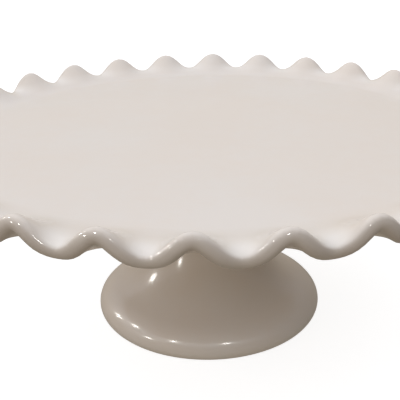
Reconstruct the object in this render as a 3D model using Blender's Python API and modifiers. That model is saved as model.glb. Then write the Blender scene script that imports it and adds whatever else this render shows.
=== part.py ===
"""Pedestal cake stand in white glazed ceramic.

It is three pieces of fired clay: a round plate whose rim is crimped into ruffles, a hollow
trumpet-shaped pedestal, and the ring of clay slip that bonds the two. +Z is up, and the
origin is on the table under the middle of the stand. Run it with

    blender --background --python part.py
"""

import math

import bpy
from mathutils import Vector
from mathutils.geometry import interpolate_bezier

# Driving dimensions, in metres.
OVERALL_DIAMETER = 0.281
PLATE_TOP_HEIGHT = 0.0954
FOOT_DIAMETER = 0.115
WALL = 0.0056
RIM_BEAD_DIAMETER = 0.0060
RUFFLE_COUNT = 28
RUFFLE_WIDTH = 0.0215
RIM_LIFT = 0.0055
CLAY_GAP = 0.0003

# The ruffles: how far the rim swings up and down, how much more pointed its crests are than its
# troughs, how far the crests lean out, and how the swing and the lift grow across the border.
RUFFLE_SWING = 0.0041
CREST_POINT = 0.0005
CREST_REACH = 0.0010
TROUGH_TUCK = 0.0004
SWING_POWER = 2.5
LIFT_POWER = 1.9
RIM_DROOP = 0.0011
DROOP_POWER = 8

# The plate, which is turned flat and then crimped.
PLATE_MID_HEIGHT = PLATE_TOP_HEIGHT - WALL / 2
BEAD_RADIUS = RIM_BEAD_DIAMETER / 2
RIM_RADIUS = OVERALL_DIAMETER / 2 - BEAD_RADIUS - CREST_REACH / 2
FLAT_RADIUS = RIM_RADIUS - RUFFLE_WIDTH
BORDER_RINGS = 6
BEAD_STEPS = 5
PLATE_STEPS = RUFFLE_COUNT * 8

# The pedestal, from the slip under the plate down to the table.
SLIP_THICKNESS = 0.0009
PEDESTAL_HEIGHT = PLATE_TOP_HEIGHT - WALL - 2 * CLAY_GAP - SLIP_THICKNESS
FOOT_RADIUS = FOOT_DIAMETER / 2
FOOT_BULGE_HEIGHT = 0.0046
FOOT_RING_RADIUS = FOOT_RADIUS - 0.0027
FOOT_RING_WIDTH = 0.0048
SHOULDER_RADIUS = FOOT_RADIUS - 0.0100
SHOULDER_HEIGHT = 0.0148
SHOULDER_SLOPE = 0.42
WAIST_RADIUS = 0.0195
WAIST_HEIGHT = 0.066
NECK_TOP_RADIUS = 0.0262
NECK_STRAIGHT = 0.0070
PEDESTAL_WALL = 0.0052
PEDESTAL_STEPS = 56

# How far the pedestal's curves run straight on from their ends, as the handles of a Bezier.
NECK_HANDLE = 0.0042
FLARE_HANDLE = 0.0090
WAIST_HANDLE = 0.0300
SHOULDER_REACH_IN = 0.0120
SHOULDER_REACH_OUT = 0.0065
BULGE_HANDLE_UP = 0.0050
BULGE_HANDLE_DOWN = 0.0020
RING_HANDLE = (0.0014, 0.0008)

# The slip: a thin layer on top of the neck, and a hollow fillet round it.
FILLET_RADIUS = 0.0068
SLIP_INNER_RADIUS = NECK_TOP_RADIUS - 0.0045
FILLET_LIP = 0.0004
FILLET_POINTS = 6
SLIP_STEPS = 48

GLAZE_WHITE = (0.86, 0.84, 0.80)
SLIP_WHITE = (0.84, 0.82, 0.78)


def clear_scene():
    for obj in list(bpy.data.objects):
        bpy.data.objects.remove(obj)


def new_collection(name):
    collection = bpy.data.collections.new(name)
    bpy.context.scene.collection.children.link(collection)
    return collection


def glazed_material(name, colour, roughness):
    material = bpy.data.materials.new(name)
    material.use_nodes = True
    shader = material.node_tree.nodes["Principled BSDF"]
    shader.inputs["Base Color"].default_value = (*colour, 1.0)
    shader.inputs["Roughness"].default_value = roughness
    shader.inputs["Metallic"].default_value = 0.0
    return material


def turned(name, profile, steps, cyclic, material, collection):
    """A solid turned about Z from (radius, height) points that run down its outer side."""
    points = [(radius, 0.0, height) for radius, height in profile]
    edges = [(i, i + 1) for i in range(len(points) - 1)]
    if cyclic:
        edges.append((len(points) - 1, 0))
    mesh = bpy.data.meshes.new(name)
    mesh.from_pydata(points, edges, [])
    obj = bpy.data.objects.new(name, mesh)
    collection.objects.link(obj)
    screw = obj.modifiers.new("turn", "SCREW")
    screw.axis = "Z"
    screw.angle = math.tau
    screw.steps = steps
    screw.render_steps = steps
    screw.use_merge_vertices = True
    screw.merge_threshold = 0.00001
    screw.use_smooth_shade = True
    mesh.materials.append(material)
    return obj


def apply_modifiers(obj):
    """Replaces an object's mesh with what its modifiers make of it."""
    bpy.context.view_layer.update()
    evaluated = obj.evaluated_get(bpy.context.evaluated_depsgraph_get())
    mesh = bpy.data.meshes.new_from_object(evaluated)
    obj.modifiers.clear()
    obj.data = mesh


def border_share(radius):
    """How far across the ruffled border a radius is: 0 where the flat ends, 1 at the rim."""
    return min(max((radius - FLAT_RADIUS) / RUFFLE_WIDTH, 0.0), 1.0)


def middle_point(radius, angle):
    """The middle of the plate's wall: flat, then lifted, drooped and waved at the border."""
    share = border_share(radius)
    wave = math.cos(RUFFLE_COUNT * angle)
    double_wave = math.cos(2 * RUFFLE_COUNT * angle)
    swing = RUFFLE_SWING * wave + CREST_POINT * double_wave
    reach = CREST_REACH * wave - TROUGH_TUCK * double_wave
    waved_radius = radius + reach * share**SWING_POWER
    height = (
        PLATE_MID_HEIGHT
        + RIM_LIFT * share**LIFT_POWER
        - RIM_DROOP * share**DROOP_POWER
        + swing * share**SWING_POWER
    )
    return Vector((waved_radius * math.cos(angle), waved_radius * math.sin(angle), height))


def wall_frame(radius, angle):
    """The wall's own outward and upward directions at a point of its middle surface."""
    step = 1e-5
    outward = middle_point(radius, angle) - middle_point(radius - step, angle)
    around = middle_point(radius, angle + step) - middle_point(radius, angle - step)
    upward = outward.cross(around).normalized()
    outward = around.cross(upward).normalized()
    return outward, upward


def crimp(plate):
    """Lifts and waves the border of a plate that was turned flat, keeping its wall's thickness."""
    for vertex in plate.data.vertices:
        radius = math.hypot(vertex.co.x, vertex.co.y)
        if radius <= FLAT_RADIUS:
            continue
        angle = math.atan2(vertex.co.y, vertex.co.x)
        middle_radius = min(radius, RIM_RADIUS)
        outward, upward = wall_frame(middle_radius, angle)
        beyond_rim = radius - middle_radius
        above_middle = vertex.co.z - PLATE_MID_HEIGHT
        middle = middle_point(middle_radius, angle)
        vertex.co = middle + outward * beyond_rim + upward * above_middle


def half_wall(radius):
    """Half the plate's thickness, which grows a little towards the bead on its rim."""
    return WALL / 2 + (BEAD_RADIUS - WALL / 2) * border_share(radius)


def plate_profile():
    """The flat plate's outline: over its top, round the bead and back under it."""
    rings = [FLAT_RADIUS + RUFFLE_WIDTH * i / BORDER_RINGS for i in range(BORDER_RINGS + 1)]
    top = [(radius, PLATE_MID_HEIGHT + half_wall(radius)) for radius in rings]
    under = [(radius, PLATE_MID_HEIGHT - half_wall(radius)) for radius in reversed(rings)]
    turns = [math.pi / 2 - math.pi * i / BEAD_STEPS for i in range(1, BEAD_STEPS)]
    bead = [
        (RIM_RADIUS + BEAD_RADIUS * math.cos(turn), PLATE_MID_HEIGHT + BEAD_RADIUS * math.sin(turn))
        for turn in turns
    ]
    centre_top = [(0.0, PLATE_TOP_HEIGHT)]
    centre_under = [(0.0, PLATE_TOP_HEIGHT - WALL)]
    return centre_top + top + bead + under + centre_under


def make_plate(collection, glaze):
    plate = turned("plate", plate_profile(), PLATE_STEPS, False, glaze, collection)
    apply_modifiers(plate)
    crimp(plate)
    return plate


def curve_through(start, start_handle, end_handle, end, count):
    """Points (radius, height) on a Bezier curve."""
    corners = [Vector((x, 0.0, z)) for x, z in (start, start_handle, end_handle, end)]
    return [(p.x, p.z) for p in interpolate_bezier(*corners, count)]


def pedestal_outside():
    """The pedestal's outer line, from the top of its neck down to the foot ring."""
    neck_end = (NECK_TOP_RADIUS, PEDESTAL_HEIGHT - NECK_STRAIGHT)
    waist = (WAIST_RADIUS, WAIST_HEIGHT)
    shoulder = (SHOULDER_RADIUS, SHOULDER_HEIGHT)
    bulge = (FOOT_RADIUS, FOOT_BULGE_HEIGHT)
    ring_edge = (FOOT_RING_RADIUS, 0.0)
    above_shoulder = SHOULDER_HEIGHT + SHOULDER_REACH_IN * SHOULDER_SLOPE
    below_shoulder = SHOULDER_HEIGHT - SHOULDER_REACH_OUT * SHOULDER_SLOPE
    flare = curve_through(
        neck_end,
        (NECK_TOP_RADIUS, neck_end[1] - NECK_HANDLE),
        (WAIST_RADIUS, WAIST_HEIGHT + FLARE_HANDLE),
        waist,
        6,
    )
    flank = curve_through(
        waist,
        (WAIST_RADIUS, WAIST_HEIGHT - WAIST_HANDLE),
        (SHOULDER_RADIUS - SHOULDER_REACH_IN, above_shoulder),
        shoulder,
        12,
    )
    edge = curve_through(
        shoulder,
        (SHOULDER_RADIUS + SHOULDER_REACH_OUT, below_shoulder),
        (FOOT_RADIUS, FOOT_BULGE_HEIGHT + BULGE_HANDLE_UP),
        bulge,
        8,
    )
    under_edge = curve_through(
        bulge,
        (FOOT_RADIUS, FOOT_BULGE_HEIGHT - BULGE_HANDLE_DOWN),
        (FOOT_RING_RADIUS + RING_HANDLE[0], RING_HANDLE[1]),
        ring_edge,
        4,
    )
    return [(NECK_TOP_RADIUS, PEDESTAL_HEIGHT)] + flare + flank[1:] + edge[1:] + under_edge[1:]


def offset_inwards(line, distance):
    """The line's points moved towards the axis side of it, square to the line."""
    moved = []
    for i in range(1, len(line) - 1):
        (r0, z0), (r1, z1) = line[i - 1], line[i + 1]
        length = math.hypot(r1 - r0, z1 - z0)
        across = ((z1 - z0) / length, -(r1 - r0) / length)
        moved.append((line[i][0] + across[0] * distance, line[i][1] + across[1] * distance))
    return moved


def pedestal_profile():
    """The outer line, the foot ring, and the hollow's line, which stops short of both ends."""
    outside = pedestal_outside()
    ring_inner = FOOT_RING_RADIUS - FOOT_RING_WIDTH
    hollow_top = PEDESTAL_HEIGHT - NECK_STRAIGHT + CLAY_GAP
    inside = [
        (radius, height)
        for radius, height in offset_inwards(outside, PEDESTAL_WALL)
        if radius < ring_inner and height < hollow_top
    ]
    inside.insert(0, (inside[0][0], PEDESTAL_HEIGHT))
    return outside + [(ring_inner, 0.0)] + inside[::-1]


def make_pedestal(collection, glaze):
    return turned("pedestal", pedestal_profile(), PEDESTAL_STEPS, True, glaze, collection)


def slip_profile():
    """A thin ring on the neck's top, with a hollow fillet hanging round the neck."""
    top = PLATE_TOP_HEIGHT - WALL - CLAY_GAP
    inner = NECK_TOP_RADIUS + CLAY_GAP
    outer = inner + FILLET_RADIUS
    fillet = []
    for i in range(FILLET_POINTS + 1):
        turn = math.pi / 2 * (1 + i / FILLET_POINTS)
        radius = outer + (FILLET_RADIUS - FILLET_LIP) * math.cos(turn)
        height = top - FILLET_LIP - FILLET_RADIUS * (1 - math.sin(turn))
        fillet.append((radius, height))
    fillet_bottom = top - FILLET_LIP - FILLET_RADIUS
    layer_bottom = top - SLIP_THICKNESS
    return (
        [(SLIP_INNER_RADIUS, top), (outer, top)]
        + fillet
        + [(inner, fillet_bottom), (inner, layer_bottom), (SLIP_INNER_RADIUS, layer_bottom)]
    )


def make_slip_joint(collection, slip):
    return turned("slip_joint", slip_profile(), SLIP_STEPS, True, slip, collection)


def main():
    clear_scene()
    collection = new_collection("cake_stand")
    glaze = glazed_material("white_glaze", GLAZE_WHITE, 0.12)
    slip = glazed_material("glazed_slip", SLIP_WHITE, 0.15)
    make_plate(collection, glaze)
    make_pedestal(collection, glaze)
    make_slip_joint(collection, slip)


main()
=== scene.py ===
"""A white glazed ceramic cake stand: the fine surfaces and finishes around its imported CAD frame.

All lengths are in metres, +Z is up, and the origin is on the table under the stand's middle.
"""

import math

import bmesh
import bpy
from mathutils import Matrix, Vector, noise
from mathutils.geometry import interpolate_bezier


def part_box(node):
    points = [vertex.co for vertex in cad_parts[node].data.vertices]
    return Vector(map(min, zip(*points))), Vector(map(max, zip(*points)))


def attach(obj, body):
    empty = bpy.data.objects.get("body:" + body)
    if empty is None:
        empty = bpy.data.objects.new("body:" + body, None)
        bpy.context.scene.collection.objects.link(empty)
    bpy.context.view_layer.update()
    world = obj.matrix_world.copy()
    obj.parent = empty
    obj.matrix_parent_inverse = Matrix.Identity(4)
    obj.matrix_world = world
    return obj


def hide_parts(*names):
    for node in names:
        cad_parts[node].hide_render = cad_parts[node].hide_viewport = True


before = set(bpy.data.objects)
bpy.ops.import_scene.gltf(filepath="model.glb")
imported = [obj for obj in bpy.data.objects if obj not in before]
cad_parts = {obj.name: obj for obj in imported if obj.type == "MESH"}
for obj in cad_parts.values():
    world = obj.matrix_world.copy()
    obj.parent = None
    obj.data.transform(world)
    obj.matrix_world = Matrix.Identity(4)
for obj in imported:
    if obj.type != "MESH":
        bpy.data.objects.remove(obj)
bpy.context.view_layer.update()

# What the frame says about where the pieces are.
plate_low, plate_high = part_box("plate")
_, pedestal_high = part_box("pedestal")
slip_low, slip_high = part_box("slip_joint")

# The plate. Its flat middle turns into a border that lifts and waves, and ends in a lip. The
# border's powers say how late on the way out each change sets in.
WALL = 0.0056
RUFFLE_COUNT = 28
RUFFLE_WIDTH = 0.0215
RIM_LIFT = 0.0055
RUFFLE_SWING = 0.0041
CREST_POINT = 0.0005
CREST_REACH = 0.0010
TROUGH_TUCK = 0.0004
SWING_POWER = 2.5
LIFT_POWER = 1.9
RIM_DROOP = 0.0011
DROOP_POWER = 8

# The lip. Its section is a superellipse: 2 is round, and more is squarer. Its outermost point
# lies LIP_OVERHANG beyond the circle that its rounding is centred on.
LIP_RADIUS = 0.0030
LIP_OVERHANG = 0.003653
LIP_SQUARENESS_ABOVE = 2.5
LIP_SQUARENESS_BELOW = 2.0

# Where the plate's parts lie, and how finely they are divided.
RIM_CIRCLE = plate_high.x - LIP_OVERHANG
FLAT_RADIUS = RIM_CIRCLE - RUFFLE_WIDTH
PLATE_UNDER = plate_low.z
PLATE_MIDDLE = PLATE_UNDER + WALL / 2
PLATE_TOP = PLATE_UNDER + WALL
PLATE_STEPS = RUFFLE_COUNT * 18
FLAT_RINGS = 22
FLAT_RING_POWER = 0.8
BORDER_RINGS = 22
LIP_POINTS = 16

# The pedestal.
PEDESTAL_TOP = pedestal_high.z
FOOT_RADIUS = pedestal_high.x
FOOT_BULGE_HEIGHT = 0.0046
FOOT_RING_WIDTH = 0.0048
FOOT_RING_SOFTENED = 0.0006
FOOT_RING_OUTER = FOOT_RADIUS - 0.0027
FOOT_RING_INNER = FOOT_RING_OUTER - FOOT_RING_WIDTH
SHOULDER = (FOOT_RADIUS - 0.0100, 0.0148)
SHOULDER_SLOPE = 0.42
WAIST = (0.0195, 0.066)
NECK_RADIUS = 0.0262
NECK_STRAIGHT = 0.0070
PEDESTAL_WALL = 0.0052
PEDESTAL_STEPS = 240

# Where the glaze stops above the table, how much that line wavers, and half its softness.
GLAZE_LINE = 0.0011
LINE_WAVER = 0.0003
LINE_BLUR = 0.0002

# How far the pedestal's curves run straight on from their ends, as the handles of a Bezier,
# and how many points each line from the neck down to the foot ring takes.
NECK_HANDLE = 0.0042
FLARE_HANDLE = 0.0090
WAIST_HANDLE = 0.0300
SHOULDER_REACH_IN = 0.0120
SHOULDER_REACH_OUT = 0.0056
BULGE_HANDLE_UP = 0.0044
BULGE_HANDLE_DOWN = 0.0020
RING_HANDLE = (0.0014, 0.0008)
NECK_POINTS = 4
FLARE_POINTS = 14
FLANK_POINTS = 36
EDGE_POINTS = 28
UNDER_EDGE_POINTS = 12

# The fired joint: its clay runs 0.1 mm into its neighbours, so that no gap shows.
BITE = 0.0001
FILLET_BOTTOM = slip_low.z
FILLET_RADIUS = slip_high.x
FILLET_POINTS = 18
SLIP_DEPTH = 0.001
SLIP_STEPS = 180

# Hand work and firing leave the surfaces faintly uneven. Each pair is the bumps' size and
# their depth. The fillet's width follows the bumps met on a circle of radius FILLET_UNEVEN_AT.
# The pedestal's unevenness fades out below EVEN_BELOW, and its hollow carries faint rings.
PLATE_UNEVEN = (0.045, 0.00016)
PEDESTAL_UNEVEN = (0.030, 0.00014)
FILLET_UNEVEN = (0.012, 0.0005)
FILLET_UNEVEN_AT = 0.03
EVEN_BELOW = 0.004
HOLLOW_RING_DEPTH = 0.00009
HOLLOW_RING_SPREAD = 0.0011


# --- shapes -----------------------------------------------------------------------------


def turned(name, stations, steps, place):
    """A closed surface around Z. place(station, angle) says where a profile's point goes.

    A profile whose first and last stations lie on the axis is closed there by fans, and any
    other profile is a ring that closes on itself.
    """
    bm = bmesh.new()
    angles = [math.tau * i / steps for i in range(steps)]
    on_axis = Vector(place(stations[0], 0.0)).xy.length < 1e-6
    inner = stations[1:-1] if on_axis else stations
    rings = [[bm.verts.new(place(s, a)) for a in angles] for s in inner]
    pairs = list(zip(rings, rings[1:]))
    if not on_axis:
        pairs.append((rings[-1], rings[0]))
    for upper, lower in pairs:
        for i in range(steps):
            j = (i + 1) % steps
            bm.faces.new((upper[i], lower[i], lower[j], upper[j]))
    if on_axis:
        top = bm.verts.new(place(stations[0], 0.0))
        bottom = bm.verts.new(place(stations[-1], 0.0))
        for i in range(steps):
            j = (i + 1) % steps
            bm.faces.new((top, rings[0][i], rings[0][j]))
            bm.faces.new((bottom, rings[-1][j], rings[-1][i]))
    mesh = bpy.data.meshes.new(name)
    bm.to_mesh(mesh)
    bm.free()
    mesh.shade_smooth()
    obj = bpy.data.objects.new(name, mesh)
    bpy.context.scene.collection.objects.link(obj)
    return obj


def uneven(point, size, depth):
    """A smooth unevenness of the given depth, with bumps about the given size across."""
    return depth * noise.noise(Vector(point) / size)


def border_share(radius):
    return min(max((radius - FLAT_RADIUS) / RUFFLE_WIDTH, 0.0), 1.0)


def plate_middle(radius, angle):
    """The middle surface of the plate's wall, flat and then lifted and waved at its border."""
    share = border_share(radius)
    wave = math.cos(RUFFLE_COUNT * angle)
    double_wave = math.cos(2 * RUFFLE_COUNT * angle)
    swing = RUFFLE_SWING * wave + CREST_POINT * double_wave
    reach = CREST_REACH * wave - TROUGH_TUCK * double_wave
    waved_radius = radius + reach * share**SWING_POWER
    height = (
        PLATE_MIDDLE
        + RIM_LIFT * share**LIFT_POWER
        - RIM_DROOP * share**DROOP_POWER
        + swing * share**SWING_POWER
    )
    return Vector((waved_radius * math.cos(angle), waved_radius * math.sin(angle), height))


def wall_frame(radius, angle):
    """The wall's own outward and upward directions at a point of its middle surface."""
    step = 1e-4
    outward = plate_middle(radius, angle) - plate_middle(radius - step, angle)
    around = plate_middle(radius, angle + step) - plate_middle(radius, angle - step)
    upward = outward.cross(around).normalized()
    outward = around.cross(upward).normalized()
    return outward, upward


def plate_stations():
    """(middle radius, distance beyond the rim circle, distance above the middle surface)."""
    flat = [FLAT_RADIUS * (i / FLAT_RINGS) ** FLAT_RING_POWER for i in range(FLAT_RINGS)]
    border = [FLAT_RADIUS + RUFFLE_WIDTH * i / BORDER_RINGS for i in range(BORDER_RINGS + 1)]
    radii = flat + border
    thickening = LIP_RADIUS - WALL / 2
    half = {r: WALL / 2 + thickening * border_share(r) for r in radii}
    top = [(r, 0.0, half[r]) for r in radii]
    under = [(r, 0.0, -half[r]) for r in reversed(radii)]
    turns = [math.pi / 2 - math.pi * i / LIP_POINTS for i in range(1, LIP_POINTS)]
    lip = []
    for turn in turns:
        squareness = LIP_SQUARENESS_ABOVE if turn > 0 else LIP_SQUARENESS_BELOW
        beyond = LIP_RADIUS * abs(math.cos(turn)) ** (2 / squareness)
        above = LIP_RADIUS * abs(math.sin(turn)) ** (2 / squareness)
        lip.append((RIM_CIRCLE, beyond, math.copysign(above, turn)))
    return top + lip + under


def place_on_plate(station, angle):
    radius, beyond, above = station
    middle = plate_middle(radius, angle)
    if radius <= FLAT_RADIUS:
        outward, upward = Vector((0, 0, 0)), Vector((0, 0, 1))
    else:
        outward, upward = wall_frame(radius, angle)
    point = middle + outward * beyond + upward * above
    return point + upward * uneven(point, *PLATE_UNEVEN)


def make_plate():
    return turned("ruffled_plate", plate_stations(), PLATE_STEPS, place_on_plate)


def curve_through(start, start_handle, end_handle, end, count):
    """Points, as (radius, height), of a Bezier curve between two ends."""
    corners = [Vector((x, 0.0, z)) for x, z in (start, start_handle, end_handle, end)]
    return [(p.x, p.z) for p in interpolate_bezier(*corners, count)]


def pedestal_outside():
    """The pedestal's outer line, from the top of its neck down to the foot ring."""
    neck_end = (NECK_RADIUS, PEDESTAL_TOP - NECK_STRAIGHT)
    bulge = (FOOT_RADIUS, FOOT_BULGE_HEIGHT)
    ring_edge = (FOOT_RING_OUTER, 0.0)
    neck = [
        (NECK_RADIUS, PEDESTAL_TOP - NECK_STRAIGHT * i / NECK_POINTS) for i in range(NECK_POINTS)
    ]
    flare = curve_through(
        neck_end,
        (NECK_RADIUS, neck_end[1] - NECK_HANDLE),
        (WAIST[0], WAIST[1] + FLARE_HANDLE),
        WAIST,
        FLARE_POINTS,
    )
    flank = curve_through(
        WAIST,
        (WAIST[0], WAIST[1] - WAIST_HANDLE),
        (SHOULDER[0] - SHOULDER_REACH_IN, SHOULDER[1] + SHOULDER_REACH_IN * SHOULDER_SLOPE),
        SHOULDER,
        FLANK_POINTS,
    )
    edge = curve_through(
        SHOULDER,
        (SHOULDER[0] + SHOULDER_REACH_OUT, SHOULDER[1] - SHOULDER_REACH_OUT * SHOULDER_SLOPE),
        (FOOT_RADIUS, FOOT_BULGE_HEIGHT + BULGE_HANDLE_UP),
        bulge,
        EDGE_POINTS,
    )
    under_edge = curve_through(
        bulge,
        (FOOT_RADIUS, FOOT_BULGE_HEIGHT - BULGE_HANDLE_DOWN),
        (FOOT_RING_OUTER + RING_HANDLE[0], RING_HANDLE[1]),
        ring_edge,
        UNDER_EDGE_POINTS,
    )
    return neck + flare + flank[1:] + edge[1:] + under_edge[1:]


def offset_inwards(line, distance):
    """The line's points moved towards its axis side, square to the line."""
    moved = []
    for i in range(1, len(line) - 1):
        (r0, z0), (r1, z1) = line[i - 1], line[i + 1]
        length = math.hypot(r1 - r0, z1 - z0)
        radius = line[i][0] + (z1 - z0) / length * distance
        height = line[i][1] - (r1 - r0) / length * distance
        moved.append((radius, height))
    return moved


def pedestal_stations():
    """(radius, height, 1 inside or 0 outside) round the whole section of the pedestal."""
    outside = pedestal_outside()
    soft = FOOT_RING_SOFTENED
    ring = [
        (FOOT_RING_OUTER - soft, 0.0),
        (FOOT_RING_INNER + soft, 0.0),
        (FOOT_RING_INNER + soft / 4, soft / 4),
        (FOOT_RING_INNER, soft),
    ]
    inside = [
        (radius, height)
        for radius, height in offset_inwards(outside, PEDESTAL_WALL)
        if radius < FOOT_RING_INNER and height < PEDESTAL_TOP - NECK_STRAIGHT
    ]
    inside.insert(0, (inside[0][0], PEDESTAL_TOP))
    outer = [(r, z, 0.0) for r, z in outside + ring]
    inner = [(r, z, 1.0) for r, z in reversed(inside)]
    return outer + inner


def place_on_pedestal(station, angle):
    """Casting leaves the walls faintly uneven, and the hollow with faint rings."""
    radius, height, inside = station
    above_ring = min(height / EVEN_BELOW, 1.0)
    point = Vector((radius * math.cos(angle), radius * math.sin(angle), height))
    out = uneven(point, *PEDESTAL_UNEVEN) * above_ring
    out += inside * above_ring * HOLLOW_RING_DEPTH * math.sin(height / HOLLOW_RING_SPREAD)
    return point + Vector((math.cos(angle), math.sin(angle), 0.0)) * out


def make_pedestal():
    return turned("flared_pedestal", pedestal_stations(), PEDESTAL_STEPS, place_on_pedestal)


def slip_stations():
    """(radius, height) of the joint's section, with a hollow fillet that feathers out."""
    top = PLATE_UNDER + BITE
    inner = NECK_RADIUS - BITE
    span = FILLET_RADIUS - inner
    drop = top - FILLET_BOTTOM
    fillet = []
    for i in range(FILLET_POINTS + 1):
        turn = math.pi / 2 * (1 + i / FILLET_POINTS)
        fillet.append(
            (FILLET_RADIUS + span * math.cos(turn), top - drop * (1 - math.sin(turn)))
        )
    return [(inner - SLIP_DEPTH, top), *fillet, (inner - SLIP_DEPTH, FILLET_BOTTOM)]


def place_on_slip(station, angle):
    """The fillet was wiped round by hand, so its width wanders a little."""
    radius, height = station
    direction = Vector((math.cos(angle), math.sin(angle), 0.0))
    share = max(radius - NECK_RADIUS, 0.0) / (FILLET_RADIUS - NECK_RADIUS)
    wander = uneven(direction * FILLET_UNEVEN_AT, *FILLET_UNEVEN) * share
    return direction * (radius + wander) + Vector((0.0, 0.0, height))


def make_slip_joint():
    return turned("slip_fillet", slip_stations(), SLIP_STEPS, place_on_slip)


# --- finishes ---------------------------------------------------------------------------


class Nodes:
    """Short calls for building a node tree."""

    def __init__(self, tree):
        self.tree = tree

    def add(self, kind, inputs=(), **settings):
        node = self.tree.nodes.new(kind)
        for key, value in settings.items():
            setattr(node, key, value)
        for key, value in dict(inputs).items():
            if isinstance(value, bpy.types.NodeSocket):
                self.tree.links.new(value, node.inputs[key])
            else:
                node.inputs[key].default_value = value
        return node

    def noise(self, place, scale, detail=2.0, roughness=0.5):
        settings = {"Vector": place, "Scale": scale, "Detail": detail, "Roughness": roughness}
        return self.add("ShaderNodeTexNoise", settings).outputs["Fac"]

    def maths(self, operation, *values):
        return self.add(
            "ShaderNodeMath", dict(enumerate(values)), operation=operation
        ).outputs[0]

    def spread(self, value, low, high, to_low=0.0, to_high=1.0):
        """value from low..high to to_low..to_high, clamped."""
        settings = {
            "Value": value,
            "From Min": low,
            "From Max": high,
            "To Min": to_low,
            "To Max": to_high,
        }
        return self.add("ShaderNodeMapRange", settings).outputs["Result"]

    def blend(self, share, first, second):
        """From the first colour to the second as share goes from 0 to 1."""
        node = self.add("ShaderNodeMix", {"Factor": share}, data_type="RGBA")
        sockets = [s for s in node.inputs if s.type == "RGBA"]
        for socket, value in zip(sockets, (first, second)):
            if isinstance(value, bpy.types.NodeSocket):
                self.tree.links.new(value, socket)
            else:
                socket.default_value = (*value, 1.0)
        return [s for s in node.outputs if s.type == "RGBA"][0]


def new_material(name):
    material = bpy.data.materials.new(name)
    material.use_nodes = True
    return material, Nodes(material.node_tree), material.node_tree.nodes["Principled BSDF"]


GLAZE_WARM = (0.835, 0.745, 0.655)
GLAZE_COOL = (0.835, 0.765, 0.690)
# Thin glaze at the lip; also painted shade, darkening the lip where it turns down.
LIP_GLAZE_THIN_AND_SHADED = (0.620, 0.545, 0.470)
# Pooled glaze in the ruffles' dips; also painted light, whitening their upward faces.
GLAZE_POOLED_AND_LIT = (0.910, 0.850, 0.778)
BARE_CLAY = (0.66, 0.58, 0.48)
BARE_CLAY_PALE = (0.74, 0.67, 0.58)
BARE_CLAY_ROUGHNESS = 0.8

# The clear coat carries the mirror images, over a duller body.
COAT = 0.7
COAT_BLUR_PLATE = 0.08
COAT_BLUR_PEDESTAL = 0.15
GLASS_IOR = 1.5
BODY_SPECULAR = 0.25
BODY_ROUGHNESS = (0.38, 0.46)

# How fine each of the glaze's textures is: its noise scale, per metre.
CLOUDS = 16.0
RIPPLE = 45.0
DULLING = 70.0
PATCHES = 120.0
MOTTLE = 160.0
WAVER = 260.0
PEEL = 420.0
GRAIN = 900.0
CLOUDS_SHARE = 0.7
MOTTLE_SHARE = 0.3
PEEL_SHARE = 0.015
BUMP_STRENGTH = 0.35
BUMP_DEPTH = 0.0006

# Glaze pools, and the dips are whitened as painted light, between these heights above the flat
# and distances out into the border. The lip runs thin, and is darkened as painted shade, between
# these distances from the rim circle. Each pair goes from none of it to all of it.
POOL_AND_LIGHT_HEIGHTS = (0.0045, 0.0010)
POOL_AND_LIGHT_REACH = (0.009, 0.018)
THIN_AND_SHADED_REACH = (-0.0015, 0.0005)


def glaze(name, coat_blur, pooled_and_lit=None, thin_and_shaded=None, bare=None):
    """Glossy white glaze, whose mirror images are blurred by coat_blur.

    The others give a share, from 0 to 1, of pooled glaze with painted light, of thin glaze with
    painted shade, and of bare clay.
    """
    material, nodes, shader = new_material(name)
    place = nodes.add("ShaderNodeTexCoord").outputs["Object"]
    clouds = nodes.maths("MULTIPLY", nodes.noise(place, CLOUDS, 2.0), CLOUDS_SHARE)
    mottle = nodes.maths("MULTIPLY", nodes.noise(place, MOTTLE, 3.0, 0.6), MOTTLE_SHARE)
    tone = nodes.maths("ADD", clouds, mottle)
    colour = nodes.blend(nodes.spread(tone, 0.38, 0.62), GLAZE_WARM, GLAZE_COOL)
    rough = nodes.spread(nodes.noise(place, DULLING, 4.0, 0.6), 0.3, 0.7, *BODY_ROUGHNESS)
    if pooled_and_lit:
        # Painted light, besides pooled glaze: the dips' upward faces are whitened.
        colour = nodes.blend(pooled_and_lit(nodes, place), colour, GLAZE_POOLED_AND_LIT)
    if thin_and_shaded:
        # Painted shade, besides thin glaze: the lip darkens where it turns down.
        colour = nodes.blend(thin_and_shaded(nodes, place), colour, LIP_GLAZE_THIN_AND_SHADED)
    if bare:
        share = bare(nodes, place)
        grain = nodes.spread(nodes.noise(place, GRAIN, 3.0, 0.6), 0.3, 0.7)
        clay = nodes.blend(grain, BARE_CLAY, BARE_CLAY_PALE)
        colour = nodes.blend(share, colour, clay)
        clay_rough = nodes.maths("MULTIPLY", share, BARE_CLAY_ROUGHNESS)
        rough = nodes.maths("MAXIMUM", rough, clay_rough)
        coat = nodes.spread(share, 0.0, 1.0, COAT, 0.0)
        nodes.tree.links.new(coat, shader.inputs["Coat Weight"])
    else:
        shader.inputs["Coat Weight"].default_value = COAT
    ripple = nodes.noise(place, RIPPLE, 1.0)
    peel = nodes.noise(place, PEEL, 2.0)
    height = nodes.maths("ADD", ripple, nodes.maths("MULTIPLY", peel, PEEL_SHARE))
    bump = nodes.add(
        "ShaderNodeBump", {"Height": height, "Strength": BUMP_STRENGTH, "Distance": BUMP_DEPTH}
    ).outputs["Normal"]
    nodes.tree.links.new(colour, shader.inputs["Base Color"])
    nodes.tree.links.new(rough, shader.inputs["Roughness"])
    nodes.tree.links.new(bump, shader.inputs["Normal"])
    shader.inputs["IOR"].default_value = GLASS_IOR
    shader.inputs["Specular IOR Level"].default_value = BODY_SPECULAR
    shader.inputs["Coat Roughness"].default_value = coat_blur
    shader.inputs["Coat IOR"].default_value = GLASS_IOR
    return material


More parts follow.
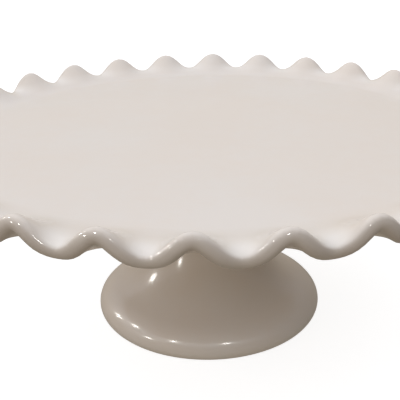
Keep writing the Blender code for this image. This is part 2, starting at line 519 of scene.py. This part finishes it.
def distance_from_axis(nodes, place):
    parts = nodes.add("ShaderNodeSeparateXYZ", {"Vector": place})
    level = nodes.add("ShaderNodeCombineXYZ", {"X": parts.outputs["X"], "Y": parts.outputs["Y"]})
    return nodes.add(
        "ShaderNodeVectorMath", {0: level.outputs["Vector"]}, operation="LENGTH"
    ).outputs["Value"]


def upward_part(nodes, vector):
    return nodes.add("ShaderNodeSeparateXYZ", {"Vector": vector}).outputs["Z"]


def facing_up(nodes):
    return upward_part(nodes, nodes.add("ShaderNodeNewGeometry").outputs["Normal"])


def pooled_and_lit_share(nodes, place):
    """Molten glaze settles thicker and whiter in the low parts of the ruffles; their upward faces
    are also whitened as painted light.
    """
    heights = [PLATE_TOP + height for height in POOL_AND_LIGHT_HEIGHTS]
    low = nodes.spread(upward_part(nodes, place), *heights)
    radii = [FLAT_RADIUS + reach for reach in POOL_AND_LIGHT_REACH]
    in_border = nodes.spread(distance_from_axis(nodes, place), *radii)
    # Painted light: only upward-facing surfaces are whitened.
    topside = nodes.spread(facing_up(nodes), 0.3, 0.6)
    return nodes.maths("MULTIPLY", nodes.maths("MULTIPLY", low, in_border), topside)


def lip_thin_and_shaded_share(nodes, place):
    """Glaze runs thin where the lip turns over, so the clay's tone shows through, and the
    downward-turned lip is also darkened as painted shade.
    """
    radii = [RIM_CIRCLE + reach for reach in THIN_AND_SHADED_REACH]
    near_rim = nodes.spread(distance_from_axis(nodes, place), *radii)
    # Painted shade: darker as the lip's surface turns to face down.
    turned_over = nodes.spread(facing_up(nodes), 0.85, 0.50)
    patchy = nodes.spread(nodes.noise(place, PATCHES, 3.0), 0.3, 0.7, 0.75, 1.0)
    return nodes.maths("MULTIPLY", nodes.maths("MULTIPLY", near_rim, turned_over), patchy)


def bare_share(nodes, place):
    """The glaze is wiped off the foot ring, up to a slightly uneven line."""
    waver = nodes.spread(nodes.noise(place, WAVER, 3.0), 0.3, 0.7, -LINE_WAVER, LINE_WAVER)
    height = nodes.maths("ADD", upward_part(nodes, place), waver)
    return nodes.spread(height, GLAZE_LINE + LINE_BLUR, GLAZE_LINE - LINE_BLUR)


FLOOR_GLOW = 0.83
FLOOR_GREYS = ((0.39, 0.39, 0.39), (0.41, 0.41, 0.41))


def floor_material():
    """A pale sheet that glows, as on a light table, so that shadows on it stay faint."""
    material, nodes, shader = new_material("pale_floor")
    place = nodes.add("ShaderNodeTexCoord").outputs["Object"]
    grain = nodes.spread(nodes.noise(place, 30.0, 4.0), 0.3, 0.7)
    colour = nodes.blend(grain, *FLOOR_GREYS)
    nodes.tree.links.new(colour, shader.inputs["Base Color"])
    shader.inputs["Roughness"].default_value = 0.9
    shader.inputs["Specular IOR Level"].default_value = 0.1
    shader.inputs["Emission Color"].default_value = (1.0, 1.0, 1.0, 1.0)
    shader.inputs["Emission Strength"].default_value = FLOOR_GLOW
    return material


# --- stage, camera and light ------------------------------------------------------------


FLOOR_REACH = 4.0
SWEEP_RADIUS = 1.5
SWEEP_POINTS = 24
WALL_TOP = 5.0
FLOOR_STEPS = 96


def make_floor():
    """A round floor that sweeps up into a wall. It lets the room's light through to the stand."""
    turns = [math.pi / 2 * i / SWEEP_POINTS for i in range(SWEEP_POINTS + 1)]
    sweep = [
        (FLOOR_REACH + SWEEP_RADIUS * math.sin(t), SWEEP_RADIUS * (1 - math.cos(t))) for t in turns
    ]
    profile = [*sweep, (FLOOR_REACH + SWEEP_RADIUS, WALL_TOP)]
    bm = bmesh.new()
    centre = bm.verts.new((0.0, 0.0, 0.0))
    rings = []
    for radius, height in profile:
        ring = []
        for i in range(FLOOR_STEPS):
            angle = math.tau * i / FLOOR_STEPS
            ring.append(bm.verts.new((radius * math.cos(angle), radius * math.sin(angle), height)))
        rings.append(ring)
    for i in range(FLOOR_STEPS):
        j = (i + 1) % FLOOR_STEPS
        bm.faces.new((centre, rings[0][i], rings[0][j]))
        for lower, upper in zip(rings, rings[1:]):
            bm.faces.new((lower[i], upper[i], upper[j], lower[j]))
    mesh = bpy.data.meshes.new("floor")
    bm.to_mesh(mesh)
    bm.free()
    mesh.shade_smooth()
    mesh.materials.append(floor_material())
    floor = bpy.data.objects.new("floor", mesh)
    bpy.context.scene.collection.objects.link(floor)
    floor.visible_diffuse = False
    floor.visible_glossy = False
    floor.visible_shadow = False


# The camera: its sensor and lens in millimetres, then its place and where it points.
SENSOR_WIDTH = 36.0
CAMERA_LENS = 66.53
CAMERA_AWAY = 0.346
CAMERA_HEIGHT = 0.2013
CAMERA_AZIMUTH = math.radians(2.0)
CAMERA_DOWN = math.radians(22.45)
CAMERA_PAN = math.radians(0.625)
CAMERA_ROLL = math.radians(-1.12)


def make_camera():
    data = bpy.data.cameras.new("camera")
    data.lens = CAMERA_LENS
    data.sensor_width = SENSOR_WIDTH
    camera = bpy.data.objects.new("camera", data)
    bpy.context.scene.collection.objects.link(camera)
    camera.matrix_world = (
        Matrix.Rotation(CAMERA_AZIMUTH, 4, "Z")
        @ Matrix.Translation((0.0, -CAMERA_AWAY, CAMERA_HEIGHT))
        @ Matrix.Rotation(CAMERA_PAN, 4, "Z")
        @ Matrix.Rotation(math.pi / 2 - CAMERA_DOWN, 4, "X")
        @ Matrix.Rotation(CAMERA_ROLL, 4, "Z")
    )
    bpy.context.scene.camera = camera


# Small round lamps, by bearing from +Y towards +X, and by height above the horizon, in degrees.
# They are what the glaze mirrors as bright points; the room below gives the even light.
LAMPS = {
    "far_left_lamp": (-72.0, 22.0),
    "left_lamp": (-91.0, 35.0),
    "near_left_lamp": (-119.0, 19.0),
    "near_lamp": (-143.0, 38.0),
    "near_right_lamp": (160.0, 38.0),
}
LAMP_DISTANCE = 2.2
LAMP_SIZE = 0.21
LAMP_POWER = 6.5
LAMP_COLOUR = (1.0, 0.97, 0.92)


def make_lamps():
    for name, (bearing, rise) in LAMPS.items():
        data = bpy.data.lights.new(name, "AREA")
        data.shape = "DISK"
        data.size = LAMP_SIZE
        data.energy = LAMP_POWER
        data.color = LAMP_COLOUR
        lamp = bpy.data.objects.new(name, data)
        bpy.context.scene.collection.objects.link(lamp)
        lamp.visible_diffuse = False
        turn, lift = math.radians(bearing), math.radians(rise)
        towards = Vector(
            (math.sin(turn) * math.cos(lift), math.cos(turn) * math.cos(lift), math.sin(lift))
        )
        lamp.location = towards * LAMP_DISTANCE + Vector((0.0, 0.0, PLATE_TOP))
        lamp.rotation_euler = towards.to_track_quat("Z", "Y").to_euler()


# The soft room. Each row is a height above the horizon in degrees, and how bright the room is
# there at ROOM_BEARINGS, in degrees: towards the back, the right, the viewer and the left. Its
# light is warm up to LOW_TINT_TO and turns cooler by HIGH_TINT_FROM, both in degrees.
ROOM = (
    (-90, 0.24, 0.24, 0.24, 0.24),
    (-30, 0.24, 0.14, 0.36, 0.21),
    (-5, 0.42, 0.10, 0.26, 0.31),
    (10, 0.62, 0.06, 0.26, 0.56),
    (25, 0.80, 0.12, 0.57, 0.94),
    (40, 0.97, 0.44, 1.42, 1.36),
    (60, 1.06, 0.86, 1.02, 1.12),
    (90, 1.04, 1.04, 1.04, 1.04),
)
ROOM_BEARINGS = (0, 90, 180, 270)
LOW_TINT = (1.13, 1.00, 0.83)
HIGH_TINT = (0.98, 1.00, 1.06)
LOW_TINT_TO = 3
HIGH_TINT_FROM = 30


def make_room():
    """A plain soft studio, brightest high at the back and over the viewer's left shoulder."""
    world = bpy.data.worlds.new("soft_room")
    bpy.context.scene.world = world
    world.use_nodes = True
    nodes = Nodes(world.node_tree)
    direction = nodes.add("ShaderNodeTexCoord").outputs["Generated"]
    parts = nodes.add("ShaderNodeSeparateXYZ", {"Vector": direction}).outputs
    rise = nodes.maths("ARCSINE", parts["Z"])
    height = nodes.spread(rise, -math.pi / 2, math.pi / 2)
    level = nodes.add("ShaderNodeCombineXYZ", {"X": parts["X"], "Y": parts["Y"]})
    heading = nodes.add(
        "ShaderNodeVectorMath", {0: level.outputs["Vector"]}, operation="NORMALIZE"
    ).outputs["Vector"]
    brightest = max(max(row[1:]) for row in ROOM)
    total = 0.0
    for column, bearing in enumerate(ROOM_BEARINGS, start=1):
        turn = math.radians(bearing)
        side = (math.sin(turn), math.cos(turn), 0.0)
        facing = nodes.add(
            "ShaderNodeVectorMath", {0: heading, 1: side}, operation="DOT_PRODUCT"
        ).outputs["Value"]
        share = nodes.maths("POWER", nodes.maths("MAXIMUM", facing, 0.0), 2.0)
        ramp = nodes.add("ShaderNodeValToRGB", {"Fac": height})
        elements = ramp.color_ramp.elements
        while len(elements) < len(ROOM):
            elements.new(0.5)
        for element, row in zip(elements, ROOM):
            glow = row[column] / brightest
            element.position = (row[0] + 90) / 180
            element.color = (glow, glow, glow, 1.0)
        part = nodes.maths("MULTIPLY", share, ramp.outputs["Color"])
        total = nodes.maths("ADD", total, part)
    warmth = nodes.spread(rise, math.radians(LOW_TINT_TO), math.radians(HIGH_TINT_FROM))
    colour = nodes.blend(warmth, LOW_TINT, HIGH_TINT)
    tint = nodes.add("ShaderNodeVectorMath", {0: colour, "Scale": total}, operation="SCALE")
    background = world.node_tree.nodes["Background"]
    world.node_tree.links.new(tint.outputs["Vector"], background.inputs["Color"])
    background.inputs["Strength"].default_value = brightest


def main():
    make_camera()
    make_floor()
    make_room()
    make_lamps()
    scene = bpy.context.scene
    scene.view_settings.view_transform = "Standard"
    made = (
        (
            make_plate(),
            "plate",
            "white_glaze",
            glaze("plate_glaze", COAT_BLUR_PLATE, pooled_and_lit=pooled_and_lit_share, thin_and_shaded=lip_thin_and_shaded_share),
        ),
        (
            make_pedestal(),
            "pedestal",
            "white_glaze",
            glaze("pedestal_glaze", COAT_BLUR_PEDESTAL, bare=bare_share),
        ),
        (
            make_slip_joint(),
            "slip_joint",
            "glazed_slip",
            glaze("slip_glaze", COAT_BLUR_PEDESTAL),
        ),
    )
    for piece, node, slot, material in made:
        piece.data.materials.append(material)
        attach(piece, "root")
        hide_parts(node)


main()
